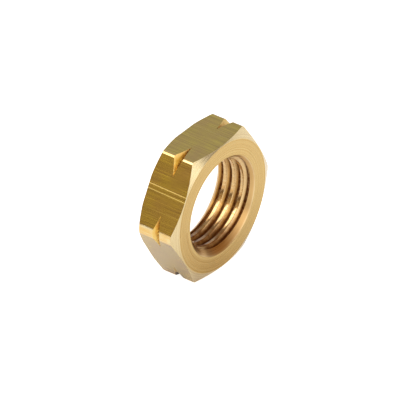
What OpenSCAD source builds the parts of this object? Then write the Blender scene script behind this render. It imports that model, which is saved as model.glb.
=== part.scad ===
// Brass lock nut for a quarter inch parallel pipe thread, turned from drawn hexagon bar.
// The nut stands on one flat. Its thread runs along Y and the front face looks towards -Y.
// The origin is at the middle of the flat that it stands on.

/* [Hexagon bar] */
// Width of the bar from one flat to the opposite flat
across_flats = 18; // [16:0.5:24]
// Length of the nut along its thread, from face to face
nut_length = 5.8; // [4.5:0.1:10]
// Radius drawn along five of the bar's corners
corner_r = 0.6; // [0.2:0.1:1.5]
// Radius of the one corner that is drawn rounder than the rest
soft_corner_r = 1.8; // [0.5:0.1:3]
// Angle between a drawn corner and the flat beside it, which leaves a faint edge
corner_edge = 6; // [3:1:12]

/* [Face chamfers] */
// Slope of both chamfers, measured from the face
chamfer_angle = 25; // [15:1:35]
// Width of the front chamfer at a sharp corner, measured along the radius
front_chamfer_w = 1.5; // [0.5:0.05:2.5]
// Width of the back chamfer at a sharp corner, measured along the radius
back_chamfer_w = 1.2; // [0.5:0.05:2.5]

/* [Marking groove] */
// Depth of the marking groove, from a sharp corner of the bar
mark_depth = 1.05; // [0.4:0.05:1.3]
// Angle between the two walls of the marking groove
mark_angle = 70; // [45:5:90]
// Distance from the middle of the nut to the marking groove, towards the front
mark_shift = 0.1; // [-1:0.1:1]

/* [Thread] */
// Nominal diameter of the thread, at the bottom of its groove
thread_d = 13.157; // [11.5:0.001:14.5]
// Turns of the thread in an inch of its length
turns_per_inch = 19; // [16:1:28]
// Angle between the two flanks of the thread groove
thread_angle = 55; // [45:5:60]
// Which way the thread winds
thread_hand = "right"; // [left, right]
// How much wider the tapping drill is than the thread's basic inner diameter
drill_over = 0.43; // [0:0.01:0.44]
// Distance from the front face to the middle of the first groove, on the side towards +X
first_groove = 0.74; // [0:0.02:1.3]

/* [Countersinks] */
// How much wider the mouth of each countersink is than the thread
mouth_over = 0.32; // [0.1:0.02:1]
// Angle between opposite sides of each countersink
countersink_angle = 90; // [60:10:120]

/* [Hidden] */

// Straight steps in one turn of the thread, and sides of every other round
turn_steps = 40;
round_sides = 96;
// How far a cutting shape runs past the surface that it cuts
past = 0.5;

// The nut is built along Z with its front face up, and laid over at the end
front_z = nut_length / 2;
back_z = -nut_length / 2;

bar_sides = 6;
soft_corner = 3;
flat_dist = across_flats / 2;
corner_dist = flat_dist / cos(180 / bar_sides);

// Thread form: a V cut short by a sixth of its height at the bottom, where it is rounded
pitch = 25.4 / turns_per_inch;
flank = thread_angle / 2;
v_height = pitch / (2 * tan(flank));
root_r = thread_d / 2;
pitch_r = root_r - v_height / 3;
crest_r = root_r - 2 / 3 * v_height + drill_over / 2;
root_round_r = v_height / 6 / (1 / sin(flank) - 1);
mouth_r = root_r + mouth_over / 2;

// The thread cutter reaches into the drilled hole, where its turns still stay this far apart
turn_gap = 0.06 * pitch;
inner_r = pitch_r - (pitch / 2 - turn_gap) / (2 * tan(flank));
arc_points = 5;
cutter_outline = concat(
    [[inner_r, -groove_w(inner_r) / 2]],
    [for (i = [0 : arc_points - 1]) root_arc(i / (arc_points - 1))],
    [[inner_r, groove_w(inner_r) / 2]]
);
turns_above = 2;
turns_below = ceil(nut_length / pitch) + 1;
winding = thread_hand == "left" ? -1 : 1;
cutter_steps = (turns_above + turns_below) * turn_steps;

// Width of the thread groove at radius r, between its straight flanks
function groove_w(r) = pitch / 2 + 2 * (pitch_r - r) * tan(flank);

// Point on the rounded bottom of the groove, for t from 0 to 1 across it
function root_arc(t) =
    let (a = (2 * t - 1) * (90 - flank))
    [root_r - root_round_r + root_round_r * cos(a), root_round_r * sin(a)];

// Point p of the cutter's outline after a number of steps along the helix
function on_helix(p, step) =
    let (turns = step / turn_steps - (winding < 0 ? turns_above : turns_below),
         height = front_z - first_groove + winding * pitch * turns)
    [p.x * cos(360 * turns), p.x * sin(360 * turns), height + p.y];

// The tap: one groove outline carried along the helix, past both faces
module thread_cutter() {
    n = len(cutter_outline);
    last = cutter_steps * n;
    polyhedron(
        points = [for (step = [0 : cutter_steps], p = cutter_outline) on_helix(p, step)],
        faces = concat(
            [[for (j = [n - 1 : -1 : 0]) j]],
            [for (s = [0 : cutter_steps - 1], j = [0 : n - 1])
                let (a = s * n + j, b = s * n + (j + 1) % n) each [[a, b, b + n], [a, b + n, a + n]]],
            [[for (j = [0 : n - 1]) last + j]]
        )
    );
}

// What a corner drawn to radius r lacks beside a sharp one, up to where its round crosses the flats
module corner_waste(r) {
    half_corner = 180 / bar_sides;
    half_turn = half_corner - corner_edge;
    edge_x = corner_dist - r * sin(half_turn) * tan(half_corner);
    start_x = edge_x - r * sin(corner_edge) * sin(half_corner);
    difference() {
        translate([start_x, -flat_dist, back_z - past])
            cube([flat_dist, across_flats, nut_length + 2 * past]);
        translate([edge_x - r * cos(half_turn), 0, 0])
            cylinder(r = r, h = nut_length + 4 * past, center = true, $fn = round_sides);
    }
}

// A length of the drawn hexagon bar
module bar() {
    difference() {
        cylinder(r = corner_dist, h = nut_length, center = true, $fn = bar_sides);
        for (k = [0 : bar_sides - 1])
            rotate(k * 360 / bar_sides) corner_waste(k == soft_corner ? soft_corner_r : corner_r);
    }
}

// The turned outline that leaves a chamfer round each face
module chamfer_envelope() {
    front_ring_r = corner_dist - front_chamfer_w;
    back_ring_r = corner_dist - back_chamfer_w;
    outer_r = corner_dist + past;
    rotate_extrude($fn = round_sides)
        polygon([
            [0, back_z],
            [back_ring_r, back_z],
            [outer_r, back_z + (outer_r - back_ring_r) * tan(chamfer_angle)],
            [outer_r, front_z - (outer_r - front_ring_r) * tan(chamfer_angle)],
            [front_ring_r, front_z],
            [0, front_z],
        ]);
}

// The V-groove turned round the bar, so shallow that it only nicks the corners
module marking_groove() {
    bottom_r = corner_dist - mark_depth;
    outer_r = corner_dist + past;
    half_w = (outer_r - bottom_r) * tan(mark_angle / 2);
    translate([0, 0, mark_shift])
        rotate_extrude($fn = round_sides)
            polygon([[bottom_r, 0], [outer_r, -half_w], [outer_r, half_w]]);
}

// The drilled hole with a countersink at each face
module drilled_hole() {
    sink_depth = (mouth_r - crest_r) / tan(countersink_angle / 2);
    past_r = mouth_r + past * tan(countersink_angle / 2);
    rotate_extrude($fn = round_sides)
        polygon([
            [0, back_z - past],
            [past_r, back_z - past],
            [crest_r, back_z + sink_depth],
            [crest_r, front_z - sink_depth],
            [past_r, front_z + past],
            [0, front_z + past],
        ]);
}

module lock_nut() {
    color("#c9a35a")
        translate([0, 0, flat_dist]) rotate([90, 0, 0])
            difference() {
                intersection() {
                    bar();
                    chamfer_envelope();
                }
                marking_groove();
                drilled_hole();
                thread_cutter();
            }
}

lock_nut();
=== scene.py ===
from math import atan2, cos, degrees, hypot, pi, radians, sin, tan

import bmesh
import bpy
from mathutils import Matrix, Vector


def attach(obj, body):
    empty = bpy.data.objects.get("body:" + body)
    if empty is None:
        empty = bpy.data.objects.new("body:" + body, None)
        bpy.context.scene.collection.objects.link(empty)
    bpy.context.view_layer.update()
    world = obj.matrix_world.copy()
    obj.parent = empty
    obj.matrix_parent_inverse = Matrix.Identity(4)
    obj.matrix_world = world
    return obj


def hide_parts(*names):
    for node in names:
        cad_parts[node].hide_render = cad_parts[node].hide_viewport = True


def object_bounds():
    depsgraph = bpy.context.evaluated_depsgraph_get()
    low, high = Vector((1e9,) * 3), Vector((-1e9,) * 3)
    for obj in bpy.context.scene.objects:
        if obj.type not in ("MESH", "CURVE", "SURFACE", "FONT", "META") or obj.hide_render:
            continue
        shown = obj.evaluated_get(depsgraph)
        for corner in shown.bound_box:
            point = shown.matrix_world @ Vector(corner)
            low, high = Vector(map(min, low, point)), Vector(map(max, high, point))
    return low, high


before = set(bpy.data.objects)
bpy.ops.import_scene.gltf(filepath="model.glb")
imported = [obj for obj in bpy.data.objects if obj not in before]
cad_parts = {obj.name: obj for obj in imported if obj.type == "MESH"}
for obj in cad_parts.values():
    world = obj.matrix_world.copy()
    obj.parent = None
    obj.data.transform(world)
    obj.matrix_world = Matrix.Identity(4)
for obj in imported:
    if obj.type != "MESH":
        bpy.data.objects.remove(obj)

# Brass lock nut on a white sweep. Blender objects are in metres, and the nut is worked out in millimetres
# with its thread along Z and its front face up, then laid over and shrunk into the frame's own place.
mm = 0.001
cadLow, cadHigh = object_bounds()
acrossFlats = (cadHigh.z - cadLow.z) / mm
nutLength = (cadHigh.y - cadLow.y) / mm
nutCentre = Vector((0, 0, acrossFlats / 2 * mm))
print("frame loaded: %.2f mm across flats, %.2f mm long" % (acrossFlats, nutLength))


def linearColour(hexText, alpha=1.0):
    channels = [int(hexText[i:i + 2], 16) / 255 for i in (1, 3, 5)]
    return [c / 12.92 if c <= 0.04045 else ((c + 0.055) / 1.055) ** 2.4 for c in channels] + [alpha]


def addNode(tree, kind, links=None, **settings):
    # settings are the node's own properties, and links fills its sockets with a value or another socket
    node = tree.nodes.new(kind)
    for name, value in settings.items():
        setattr(node, name, value)
    for name, value in (links or {}).items():
        socket = node.inputs[name]
        if isinstance(value, bpy.types.NodeSocket):
            tree.links.new(value, socket)
        else:
            socket.default_value = value
    return node


def newMaterial(name):
    material = bpy.data.materials.new(name)
    material.use_nodes = True
    material.node_tree.nodes.clear()
    return material, material.node_tree


def meshObject(name, bm):
    mesh = bpy.data.meshes.new(name)
    bm.to_mesh(mesh)
    bm.free()
    obj = bpy.data.objects.new(name, mesh)
    bpy.context.scene.collection.objects.link(obj)
    return obj


# Camera: the photograph's view, taken from far off with a long lens, so that it is nearly parallel
cameraView = {
    "azimuth": -52.85,         # degrees, 0 looks along +Y
    "elevation": 34.2,
    "roll": -0.5,
    "distance": 1.5,           # metres from the nut's middle
    "pixelsPerMm": 8.05,
    "frameSize": 400,          # pixels
    "nutMiddleAt": (204.0, 198.3),     # pixels, where the nut's middle lies in the frame
    "sensor": 36,
}


def makeCamera(v):
    data = bpy.data.cameras.new("photoCamera")
    camera = bpy.data.objects.new("photoCamera", data)
    bpy.context.scene.collection.objects.link(camera)
    az, el = radians(v["azimuth"]), radians(v["elevation"])
    back = Vector((sin(az) * cos(el), -cos(az) * cos(el), sin(el)))
    turn = (-back).to_track_quat("-Z", "Y").to_matrix() @ Matrix.Rotation(radians(v["roll"]), 3, "Z")
    right, up = turn.col[0], turn.col[1]
    middle = v["frameSize"] / 2
    offRight = (v["nutMiddleAt"][0] - middle) / v["pixelsPerMm"] * mm
    offDown = (v["nutMiddleAt"][1] - middle) / v["pixelsPerMm"] * mm
    aim = nutCentre - right * offRight + up * offDown
    camera.matrix_world = Matrix.Translation(aim + back * v["distance"]) @ turn.to_4x4()
    data.sensor_width = v["sensor"]
    data.lens = v["pixelsPerMm"] * v["distance"] / mm * v["sensor"] / v["frameSize"]
    data.clip_start, data.clip_end = 0.01, 10
    bpy.context.scene.camera = camera


makeCamera(cameraView)
print("camera placed")


# The nut, in millimetres and degrees
lockNut = {
    "cornerRadius": 0.6,
    "softCornerRadius": 1.8,
    "softCorner": 3,           # counted from the corner at +X
    "cornerEdge": 6,
    "cornerFacets": 8,
    "chamferAngle": 25,
    "frontChamfer": 1.5,       # radial width at a sharp corner
    "backChamfer": 1.2,
    "markDepth": 1.05,
    "markAngle": 70,
    "markShift": 0.1,          # towards the front
    "threadDiameter": 13.157,
    "turnsPerInch": 19,
    "threadAngle": 55,
    "leftHanded": False,
    "crestOver": 0.43,         # how much wider the drilled hole is than the basic inner diameter
    "crestRound": 0.05,        # radius left on the crest's edges by the tap
    "firstGroove": 0.74,       # from the front face to the middle of a groove, at +X
    "mouthOver": 0.32,
    "sinkAngle": 90,
    "stepsRound": 360,
    "stepsPerTurn": 120,
}


def spinProfile(bm, points, steps):
    # turns a closed outline, drawn as radius and height, round the nut's axis
    verts = [bm.verts.new((r, 0, z)) for r, z in points]
    edges = [bm.edges.new(pair) for pair in zip(verts, verts[1:] + verts[:1])]
    bmesh.ops.spin(bm, geom=verts + edges, cent=(0, 0, 0), axis=(0, 0, 1), angle=2 * pi, steps=steps,
                   use_merge=True)
    bmesh.ops.recalc_face_normals(bm, faces=bm.faces)


def cutOff(bm, angle, distance):
    # planes off everything past a plane that faces outwards at that angle
    normal = Vector((cos(radians(angle)), sin(radians(angle)), 0))
    cut = bmesh.ops.bisect_plane(bm, geom=bm.verts[:] + bm.edges[:] + bm.faces[:], dist=1e-6,
                                 plane_co=normal * distance, plane_no=normal, clear_outer=True)
    rim = [e for e in cut["geom_cut"] if isinstance(e, bmesh.types.BMEdge)]
    bmesh.ops.edgeloop_fill(bm, edges=rim)


def makeTurnedBlank(n):
    # a ring turned with both face chamfers, the marking groove and the two countersinks
    half = nutLength / 2
    sharpCorner = acrossFlats / 2 / cos(pi / 6)
    outer = sharpCorner + 0.4
    slope = tan(radians(n["chamferAngle"]))
    frontRing, backRing = sharpCorner - n["frontChamfer"], sharpCorner - n["backChamfer"]
    markBottom = sharpCorner - n["markDepth"]
    markHalf = (outer - markBottom) * tan(radians(n["markAngle"] / 2))
    mouth = (n["threadDiameter"] + n["mouthOver"]) / 2
    hole = n["threadDiameter"] / 2 - 1.3
    sinkDepth = (mouth - hole) / tan(radians(n["sinkAngle"] / 2))
    bm = bmesh.new()
    spinProfile(bm, [
        (mouth, -half), (backRing, -half), (outer, -half + (outer - backRing) * slope),
        (outer, n["markShift"] - markHalf), (markBottom, n["markShift"]), (outer, n["markShift"] + markHalf),
        (outer, half - (outer - frontRing) * slope), (frontRing, half), (mouth, half),
        (hole, half - sinkDepth), (hole, -half + sinkDepth),
    ], n["stepsRound"])
    return bm


def cutHexagon(bm, n):
    flat = acrossFlats / 2
    sharpCorner = flat / cos(pi / 6)
    for k in range(6):
        cutOff(bm, 30 + 60 * k, flat)
    for k in range(6):
        soft = k == n["softCorner"]
        radius = n["softCornerRadius"] if soft else n["cornerRadius"]
        facets = n["cornerFacets"] * (2 if soft else 1)
        halfTurn = 30 - n["cornerEdge"]
        edgeX = sharpCorner - radius * sin(radians(halfTurn)) * tan(radians(30))
        centreX = edgeX - radius * cos(radians(halfTurn))
        for j in range(facets):
            turn = halfTurn * (2 * (j + 0.5) / facets - 1)
            cutOff(bm, 60 * k + turn, centreX * cos(radians(turn)) + radius)


def makeTap(n):
    # one thread outline, from crest to crest, spun round the axis and lifted by one pitch a turn
    pitch = 25.4 / n["turnsPerInch"]
    flank = radians(n["threadAngle"] / 2)
    vHeight = pitch / (2 * tan(flank))
    rootRadius = n["threadDiameter"] / 2
    crestRadius = rootRadius - 2 / 3 * vHeight + n["crestOver"] / 2
    pitchRadius = rootRadius - vHeight / 3
    crestEdge = pitch / 4 + (pitchRadius - crestRadius) * tan(flank)
    rootRound = vHeight / 6 / (1 / sin(flank) - 1)
    sharpRoot = rootRadius + vHeight / 6
    turns = int(nutLength / pitch) + 4
    bm = bmesh.new()
    outline = [bm.verts.new((r, 0, z)) for r, z in (
        (crestRadius, -pitch / 2), (crestRadius, -crestEdge), (sharpRoot, 0),
        (crestRadius, crestEdge), (crestRadius, pitch / 2))]
    for a, b in zip(outline, outline[1:]):
        bm.edges.new((a, b))
    rootOffset = rootRound / tan(flank)
    crestOffset = n["crestRound"] * tan(pi / 4 - flank / 2)
    bmesh.ops.bevel(bm, geom=[outline[2]], offset=rootOffset, offset_type="OFFSET", affect="VERTICES",
                    segments=8, profile=0.5, material=-1)
    bmesh.ops.bevel(bm, geom=[outline[1], outline[3]], offset=crestOffset, offset_type="OFFSET",
                    affect="VERTICES", segments=3, profile=0.5, material=-1)
    winding = -1 if n["leftHanded"] else 1
    rise = winding * pitch / n["stepsPerTurn"]
    start = nutLength / 2 - n["firstGroove"] - winding * pitch * (turns // 2)
    bmesh.ops.translate(bm, verts=bm.verts, vec=(0, 0, start))
    bmesh.ops.spin(bm, geom=bm.verts[:] + bm.edges[:], cent=(0, 0, 0), axis=(0, 0, 1), dvec=(0, 0, rise),
                   angle=2 * pi * turns, steps=n["stepsPerTurn"] * turns)
    bmesh.ops.remove_doubles(bm, verts=bm.verts, dist=1e-4)
    for side in (-1, 1):
        rim = [e for e in bm.edges if e.is_boundary and e.verts[0].co.z * side > 0]
        grown = bmesh.ops.extrude_edge_only(bm, edges=rim)
        ring = [v for v in grown["geom"] if isinstance(v, bmesh.types.BMVert)]
        middle = sum((v.co.z for v in ring), 0.0) / len(ring)
        bmesh.ops.pointmerge(bm, verts=ring, merge_co=(0, 0, middle))
    bmesh.ops.recalc_face_normals(bm, faces=bm.faces)
    return bm


def tapBlank(blank, tap):
    # takes the tap's shape out of the blank and returns the result as a new mesh
    cut = blank.modifiers.new("tapped", "BOOLEAN")
    cut.operation, cut.solver, cut.object = "DIFFERENCE", "EXACT", tap
    graph = bpy.context.evaluated_depsgraph_get()
    bm = bmesh.new()
    bm.from_object(blank, graph)
    bpy.data.objects.remove(blank)
    bpy.data.objects.remove(tap)
    return bm


finishes = ["turnedFace", "turnedChamfer", "drawnFlat", "drawnCorner", "markGroove", "tappedThread",
            "countersink"]


def finishOf(face, n):
    # which cut made this face, told by where it lies and which way it looks
    middle, normal = face.calc_center_median(), face.normal
    radius = hypot(middle.x, middle.y)
    if radius < (n["threadDiameter"] + n["mouthOver"]) / 2 - 0.01:
        cone = abs(abs(normal.z) - sin(radians(n["sinkAngle"] / 2))) < 0.02
        atMouth = abs(middle.z) > nutLength / 2 - 0.81
        return "countersink" if cone and atMouth else "tappedThread"
    if abs(normal.z) > 0.999:
        return "turnedFace"
    if abs(normal.z) > cos(radians(n["chamferAngle"])) - 0.02:
        return "turnedChamfer"
    if abs(normal.z) > 0.1:
        return "markGroove"
    offFlat = (degrees(atan2(normal.y, normal.x)) - 30) % 60
    return "drawnFlat" if min(offFlat, 60 - offFlat) < 0.5 else "drawnCorner"


def makeNut(n):
    blank = makeTurnedBlank(n)
    print("blank turned")
    cutHexagon(blank, n)
    print("hexagon cut, %d faces" % len(blank.faces))
    bm = tapBlank(meshObject("blank", blank), meshObject("tap", makeTap(n)))
    bmesh.ops.remove_doubles(bm, verts=bm.verts, dist=1e-4)
    bmesh.ops.dissolve_degenerate(bm, edges=bm.edges, dist=1e-4)
    print("thread tapped, %d faces" % len(bm.faces))
    bm.normal_update()
    for face in bm.faces:
        face.material_index = finishes.index(finishOf(face, n))
        face.smooth = True
    for edge in bm.edges:
        sides = [f.material_index for f in edge.link_faces]
        edge.smooth = len(set(sides)) == 1 and edge.calc_face_angle(0) < radians(35)
    bmesh.ops.rotate(bm, verts=bm.verts, cent=(0, 0, 0), matrix=Matrix.Rotation(pi / 2, 3, "X"))
    bmesh.ops.scale(bm, verts=bm.verts, vec=(mm, mm, mm))
    bmesh.ops.translate(bm, verts=bm.verts, vec=nutCentre)
    bmesh.ops.triangulate(bm, faces=[f for f in bm.faces if len(f.verts) > 4])
    return meshObject("nut", bm)


nut = makeNut(lockNut)


def placeOnNut(tree):
    # where a point lies on the nut, in millimetres from its middle: along the thread, out from the axis and round it
    place = addNode(tree, "ShaderNodeTexCoord")
    centred = addNode(tree, "ShaderNodeMapping", {
        "Vector": place.outputs["Object"], "Location": (0, 0, -nutCentre.z / mm), "Scale": (1 / mm, 1 / mm, 1 / mm)})
    axes = addNode(tree, "ShaderNodeSeparateXYZ", {0: centred.outputs[0]})
    outward = addNode(tree, "ShaderNodeCombineXYZ", {"X": axes.outputs["X"], "Z": axes.outputs["Z"]})
    radius = addNode(tree, "ShaderNodeVectorMath", {0: outward.outputs[0]}, operation="LENGTH")
    turn = addNode(tree, "ShaderNodeMath", {0: axes.outputs["Z"], 1: axes.outputs["X"]}, operation="ARCTAN2")
    return {"point": centred.outputs[0], "outward": outward.outputs[0], "along": axes.outputs["Y"],
            "radius": radius.outputs["Value"], "height": axes.outputs["Z"], "turn": turn.outputs[0]}


def toolMarks(tree, at, f):
    # fine grooves left by the tool, even along the way that it moved and uneven across it
    across = addNode(tree, "ShaderNodeMath", {0: at[f["acrossFrom"]], 1: f["acrossScale"] / f["markPitch"]},
                     operation="MULTIPLY")
    onward = addNode(tree, "ShaderNodeMath", {0: at[f["onwardFrom"]], 1: f["onwardScale"] / f["markLength"]},
                     operation="MULTIPLY")
    way = addNode(tree, "ShaderNodeCombineXYZ", {"X": across.outputs[0], "Y": onward.outputs[0]})
    marks = addNode(tree, "ShaderNodeTexNoise", {"Vector": way.outputs[0], "Scale": 1.0, "Detail": 3.0,
                                                 "Roughness": 0.6}, noise_dimensions="3D")
    return marks.outputs["Fac"]


def mixColours(tree, share, first, second):
    mixed = addNode(tree, "ShaderNodeMix", {0: share, 6: first, 7: second}, data_type="RGBA")
    return mixed.outputs[2]


def brassFinish(f):
    material, tree = newMaterial(f["name"])
    at = placeOnNut(tree)
    marks = toolMarks(tree, at, f)
    contrast = addNode(tree, "ShaderNodeMapRange", {"Value": marks, "From Min": 0.3, "From Max": 0.7})
    colour = mixColours(tree, contrast.outputs[0], linearColour(f["dark"]), linearColour(f["light"]))
    cloud = addNode(tree, "ShaderNodeTexNoise", {"Vector": at["point"], "Scale": 1 / f["patchSize"], "Detail": 2.0})
    cloudShare = addNode(tree, "ShaderNodeMapRange", {"Value": cloud.outputs["Fac"], "From Min": 0.35,
                                                      "From Max": 0.7, "To Max": f["patchShare"]})
    colour = mixColours(tree, cloudShare.outputs[0], colour, linearColour(f["patch"]))
    for zone in f.get("zones", []):
        # a tint that sets in along the radius or the height, evenly or in spots
        inZone = addNode(tree, "ShaderNodeMapRange", {"Value": at[zone["by"]], "From Min": zone["begins"],
                                                      "From Max": zone["full"], "To Max": zone["share"]})
        spots = addNode(tree, "ShaderNodeTexNoise", {"Vector": at["point"], "Scale": 1 / zone["spotSize"],
                                                     "Detail": 2.0})
        spotShare = addNode(tree, "ShaderNodeMapRange", {"Value": spots.outputs["Fac"], "From Min": 0.35,
                                                         "From Max": 0.6, "To Min": zone["least"]})
        share = addNode(tree, "ShaderNodeMath", {0: inZone.outputs[0], 1: spotShare.outputs[0]},
                        operation="MULTIPLY")
        colour = mixColours(tree, share.outputs[0], colour, linearColour(zone["colour"]))
    bump = addNode(tree, "ShaderNodeBump", {"Height": marks, "Distance": f["markDepth"] * mm, "Strength": 1.0})
    roughness = addNode(tree, "ShaderNodeMapRange", {"Value": marks, "From Min": 0.3, "From Max": 0.7,
                                                     "To Min": f["roughness"] * 0.85, "To Max": f["roughness"] * 1.15})
    roughness = roughness.outputs[0]
    for s in f.get("scratches", []):
        # a line along the nut on one flat, at a distance across it from the flat's middle, which scatters light
        facing = Vector((cos(radians(s["flat"])), 0, sin(radians(s["flat"]))))
        onFlat = addNode(tree, "ShaderNodeVectorMath", {0: at["point"], 1: facing}, operation="DOT_PRODUCT")
        isFlat = addNode(tree, "ShaderNodeMath", {0: onFlat.outputs["Value"], 1: acrossFlats / 2 - 0.05},
                         operation="GREATER_THAN")
        sideways = addNode(tree, "ShaderNodeVectorMath", {0: at["point"], 1: (facing.z, s["slant"], -facing.x)},
                           operation="DOT_PRODUCT")
        line = addNode(tree, "ShaderNodeMath", {0: sideways.outputs["Value"], 1: s["across"], 2: s["width"]},
                       operation="COMPARE")
        share = addNode(tree, "ShaderNodeMath", {0: line.outputs[0], 1: isFlat.outputs[0]}, operation="MULTIPLY")
        strength = addNode(tree, "ShaderNodeMath", {0: share.outputs[0], 1: s["strength"]}, operation="MULTIPLY")
        colour = mixColours(tree, strength.outputs[0], colour, linearColour(scratchColour))
        rough = addNode(tree, "ShaderNodeMath", {0: strength.outputs[0], 1: scratchRoughness, 2: roughness},
                        operation="MULTIPLY_ADD")
        roughness = rough.outputs[0]
    if "flankRoughness" in f:
        # the tap tears the flanks, and leaves the drilled crests smooth
        torn = addNode(tree, "ShaderNodeMapRange", {"Value": at["radius"], "From Min": f["flankFrom"],
                                                    "From Max": f["flankFrom"] + 0.05, "To Max": f["flankRoughness"]})
        rough = addNode(tree, "ShaderNodeMath", {0: roughness, 1: torn.outputs[0]}, operation="MAXIMUM")
        roughness = rough.outputs[0]
    bsdf = addNode(tree, "ShaderNodeBsdfPrincipled", {
        "Base Color": colour, "Metallic": 1.0, "Roughness": roughness, "Normal": bump.outputs[0],
        "Coat Weight": f["film"], "Coat Roughness": f["filmRoughness"]})
    addNode(tree, "ShaderNodeOutputMaterial", {"Surface": bsdf.outputs[0]})
    return material


turned = {"acrossFrom": "radius", "acrossScale": 1.0, "onwardFrom": "turn", "onwardScale": 9.0}
drawn = {"acrossFrom": "turn", "acrossScale": 9.0, "onwardFrom": "along", "onwardScale": 1.0}
scratchColour, scratchRoughness = "#FFE48C", 0.4
flatScratches = [
    {"flat": 150, "across": 0.83, "slant": -0.02, "width": 0.06, "strength": 0.9},
    {"flat": 150, "across": 0.19, "slant": -0.02, "width": 0.05, "strength": 0.75},
    {"flat": 150, "across": -2.1, "slant": 0.01, "width": 0.03, "strength": 0.15},
    {"flat": 90, "across": 1.7, "slant": 0.01, "width": 0.03, "strength": 0.3},
    {"flat": 30, "across": -1.2, "slant": 0.015, "width": 0.04, "strength": 0.5},
    {"flat": 330, "across": 2.2, "slant": -0.01, "width": 0.035, "strength": 0.5},
]
brassFinishes = {
    "turnedFace": dict(turned, name="turnedFace", markPitch=0.16, markLength=160, markDepth=0.01, light="#F6DC94",
                       dark="#C29A4E", patch="#DEC280", patchSize=4, patchShare=0.4, roughness=0.27, film=0.25,
                       filmRoughness=0.35),
    "turnedChamfer": dict(turned, name="turnedChamfer", markPitch=0.16, markLength=160, markDepth=0.003,
                          light="#F2E4B4", dark="#DAC288", patch="#E8D6A6", patchSize=4, patchShare=0.5,
                          roughness=0.22, film=0.9, filmRoughness=0.3),
    "drawnFlat": dict(drawn, name="drawnFlat", markPitch=0.16, markLength=12, markDepth=0.005, light="#F0D448",
                      dark="#AA8E28", patch="#C49C50", patchSize=3, patchShare=0.6, roughness=0.24, film=1.0,
                      filmRoughness=0.3, scratches=flatScratches),
    # painted highlight: the corner bands are paler cream than the flats, so that they read bright
    "drawnCorner": dict(drawn, name="drawnCorner", markPitch=0.3, markLength=5, markDepth=0.004, light="#FFF4C0",
                        dark="#ECC468", patch="#F2C468", patchSize=1.2, patchShare=0.5, roughness=0.22, film=0.9,
                        filmRoughness=0.3),
    "markGroove": dict(turned, name="markGroove", markPitch=0.15, markLength=40, markDepth=0.002, light="#FFEE9C",
                       dark="#FAD678", patch="#F0B854", patchSize=0.6, patchShare=0.5, roughness=0.42, film=0.6,
                       filmRoughness=0.3, zones=[
                           # painted shade: the nick turns dark brown towards its bottom, as the shade falling in it,
                           # with some oil kept there
                           {"by": "radius", "begins": 9.75, "full": 9.34, "share": 0.9, "colour": "#8A5214",
                            "spotSize": 0.25, "least": 0.0},
                           # painted shade: near-black spots on the nick's low part by the floor, as the shade where
                           # the nut stands
                           {"by": "height", "begins": -8.0, "full": -8.5, "share": 0.9, "colour": "#2E1C0C",
                            "spotSize": 0.5, "least": 0.7}]),
    "countersink": dict(turned, name="countersink", markPitch=0.25, markLength=80, markDepth=0.01,
                        light="#F4D498", dark="#C49A58", patch="#DCB474", patchSize=2, patchShare=0.3,
                        roughness=0.3, film=0.1, filmRoughness=0.3, zones=[
                            # painted highlight: a pale cream ring at the mouth's edge, as the light caught by the
                            # lead-in edge
                            {"by": "radius", "begins": 6.6, "full": 6.66, "share": 0.6, "colour": "#FFECB8",
                             "spotSize": 1.5, "least": 0.5}]),
    "tappedThread": dict(turned, name="tappedThread", markPitch=0.1, markLength=0.5, markDepth=0.004,
                         light="#FAE6B2", dark="#D29E58", patch="#E0B674", patchSize=1.2, patchShare=0.4,
                         roughness=0.17, film=0.3, filmRoughness=0.2, flankRoughness=0.36, flankFrom=5.96, zones=[
                             {"by": "radius", "begins": 5.96, "full": 6.01, "share": 0.8, "colour": "#FADEA4",
                              "spotSize": 0.5, "least": 0.7},
                             # painted shade: the thread's roots dark brown, as the grooves lying in shade
                             {"by": "radius", "begins": 6.28, "full": 6.46, "share": 0.95, "colour": "#784210",
                              "spotSize": 0.5, "least": 0.7},
                             # painted shade: the lower part of the bore darker brown
                             {"by": "height", "begins": -4.2, "full": -5.4, "share": 0.8, "colour": "#8A5A2C",
                              "spotSize": 0.8, "least": 0.5}]),
}
for finishName in finishes:
    nut.data.materials.append(brassFinish(brassFinishes[finishName]))
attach(nut, "root")
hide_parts("lock_nut")
print("nut made, %d triangles" % sum(len(p.vertices) - 2 for p in nut.data.polygons))


# White sweep with a low rim, which the camera and the metal see as white, but for a painted shade close to the nut and
# a painted cool patch beside it that only the metal sees
sweep = {
    "radius": 1.5, "rimHeight": 0.08, "steps": 96, "paper": "#F4F4F4",
    "cameraGlow": 0.9,
    "mirrorGlow": 0.22, "farMirrorGlow": 0.42,                 # what the metal mirrors, by the nut and farther off
    # painted shade: what the metal mirrors of the paper is dimmer close to the nut, as the nut's shadow on it
    "dimSpot": (-0.002, -0.002, 0), "dimFor": 0.002, "brightFrom": 0.013,
    # painted reflection: a cool blue patch on the paper beside the nut, seen only by the metal
    "coolTint": "#B4C4FF", "coolSpot": (-0.0075, 0.0015, 0), "coolFor": 0.002, "plainFrom": 0.007,
}


def makeSweep(s):
    bm = bmesh.new()
    verts = [bm.verts.new(p) for p in ((0, 0, 0), (s["radius"], 0, 0), (s["radius"], 0, s["rimHeight"]))]
    edges = [bm.edges.new(pair) for pair in zip(verts, verts[1:])]
    bmesh.ops.spin(bm, geom=verts + edges, cent=(0, 0, 0), axis=(0, 0, 1), angle=2 * pi, steps=s["steps"],
                   use_merge=True)
    bmesh.ops.remove_doubles(bm, verts=bm.verts, dist=1e-5)
    bmesh.ops.recalc_face_normals(bm, faces=bm.faces)
    return meshObject("whiteSweep", bm)


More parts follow.
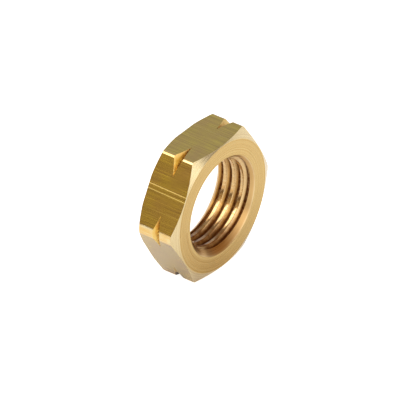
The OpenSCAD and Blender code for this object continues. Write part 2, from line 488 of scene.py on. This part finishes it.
def sweepMaterial(s):
    # white paper: its own light only reaches the camera and what the metal mirrors, so the nut's shadow stays on it
    material, tree = newMaterial("whiteSweep")
    diffuse = addNode(tree, "ShaderNodeBsdfDiffuse", {"Color": linearColour(s["paper"])})
    path = addNode(tree, "ShaderNodeLightPath")
    toCamera = addNode(tree, "ShaderNodeMath", {0: path.outputs["Is Camera Ray"], 1: s["cameraGlow"]},
                       operation="MULTIPLY")
    mirrored = addNode(tree, "ShaderNodeMath", {0: path.outputs["Is Glossy Ray"],
                                                1: path.outputs["Is Transmission Ray"]}, operation="MAXIMUM")
    place = addNode(tree, "ShaderNodeTexCoord")
    # painted shade: the mirrored glow is dimmer near dimSpot, as the nut's shadow seen in the metal
    fromDim = addNode(tree, "ShaderNodeVectorMath", {0: place.outputs["Object"], 1: s["dimSpot"]},
                      operation="DISTANCE")
    mirrorGlow = addNode(tree, "ShaderNodeMapRange", {
        "Value": fromDim.outputs["Value"], "From Min": s["dimFor"], "From Max": s["brightFrom"],
        "To Min": s["mirrorGlow"], "To Max": s["farMirrorGlow"]})
    toMetal = addNode(tree, "ShaderNodeMath", {0: mirrored.outputs[0], 1: mirrorGlow.outputs[0],
                                               2: toCamera.outputs[0]}, operation="MULTIPLY_ADD")
    # painted reflection: the mirrored glow turns cool blue near coolSpot
    fromCool = addNode(tree, "ShaderNodeVectorMath", {0: place.outputs["Object"], 1: s["coolSpot"]},
                       operation="DISTANCE")
    coolness = addNode(tree, "ShaderNodeMapRange", {
        "Value": fromCool.outputs["Value"], "From Min": s["coolFor"], "From Max": s["plainFrom"], "To Min": 1.0,
        "To Max": 0.0})
    cooled = addNode(tree, "ShaderNodeMath", {0: coolness.outputs[0], 1: mirrored.outputs[0]}, operation="MULTIPLY")
    tint = mixColours(tree, cooled.outputs[0], (1, 1, 1, 1), linearColour(s["coolTint"]))
    glow = addNode(tree, "ShaderNodeEmission", {"Color": tint, "Strength": toMetal.outputs[0]})
    both = addNode(tree, "ShaderNodeAddShader", {0: diffuse.outputs[0], 1: glow.outputs[0]})
    addNode(tree, "ShaderNodeOutputMaterial", {"Surface": both.outputs[0]})
    return material


floor = makeSweep(sweep)
floor.data.materials.append(sweepMaterial(sweep))


def softbox(name, towards, distance, width, height, radiance):
    # a rectangular lamp that looks at the nut, with its power worked out from how bright it looks
    data = bpy.data.lights.new(name, "AREA")
    data.shape, data.size, data.size_y = "RECTANGLE", width, height
    data.energy = radiance * pi * width * height
    lamp = bpy.data.objects.new(name, data)
    bpy.context.scene.collection.objects.link(lamp)
    place = Vector(towards).normalized()
    lamp.location = nutCentre + place * distance
    lamp.rotation_mode = "QUATERNION"
    lamp.rotation_quaternion = place.to_track_quat("Z", "Y")


softbox("backSoftbox", (-0.42, 0.5, 0.68), 1.0, 0.95, 0.56, 2.0)
softbox("frontSoftbox", (-0.067, -0.959, 0.276), 1.1, 1.07, 0.75, 1.2)


# The room beyond the sweep: dim, warmer on the left, cooler on the right and darkest in front
room = {"warm": "#C6AE8C", "cool": "#CED0E8", "front": "#A0723F", "ceiling": "#BCB2A6", "horizon": "#5A3E1E",
        "strength": 0.85}


def makeRoom(r):
    world = bpy.data.worlds.new("room")
    world.use_nodes = True
    tree = world.node_tree
    tree.nodes.clear()
    towards = addNode(tree, "ShaderNodeTexCoord")
    axes = addNode(tree, "ShaderNodeSeparateXYZ", {0: towards.outputs["Generated"]})
    toRight = addNode(tree, "ShaderNodeMapRange", {"Value": axes.outputs["X"], "From Min": -0.8, "From Max": 0.5})
    sides = mixColours(tree, toRight.outputs[0], linearColour(r["warm"]), linearColour(r["cool"]))
    toFront = addNode(tree, "ShaderNodeMapRange", {"Value": axes.outputs["Y"], "From Min": 0.15, "From Max": -0.45})
    colour = mixColours(tree, toFront.outputs[0], sides, linearColour(r["front"]))
    upFromHorizon = addNode(tree, "ShaderNodeMapRange", {"Value": axes.outputs["Z"], "From Min": 0.12,
                                                         "From Max": 0.26})
    colour = mixColours(tree, upFromHorizon.outputs[0], linearColour(r["horizon"]), colour)
    toTop = addNode(tree, "ShaderNodeMapRange", {"Value": axes.outputs["Z"], "From Min": 0.62, "From Max": 0.78})
    colour = mixColours(tree, toTop.outputs[0], colour, linearColour(r["ceiling"]))
    glow = addNode(tree, "ShaderNodeBackground", {"Color": colour, "Strength": r["strength"]})
    addNode(tree, "ShaderNodeOutputWorld", {"Surface": glow.outputs[0]})
    bpy.context.scene.world = world


makeRoom(room)
bpy.context.scene.view_settings.view_transform = "Standard"
print("studio lit")
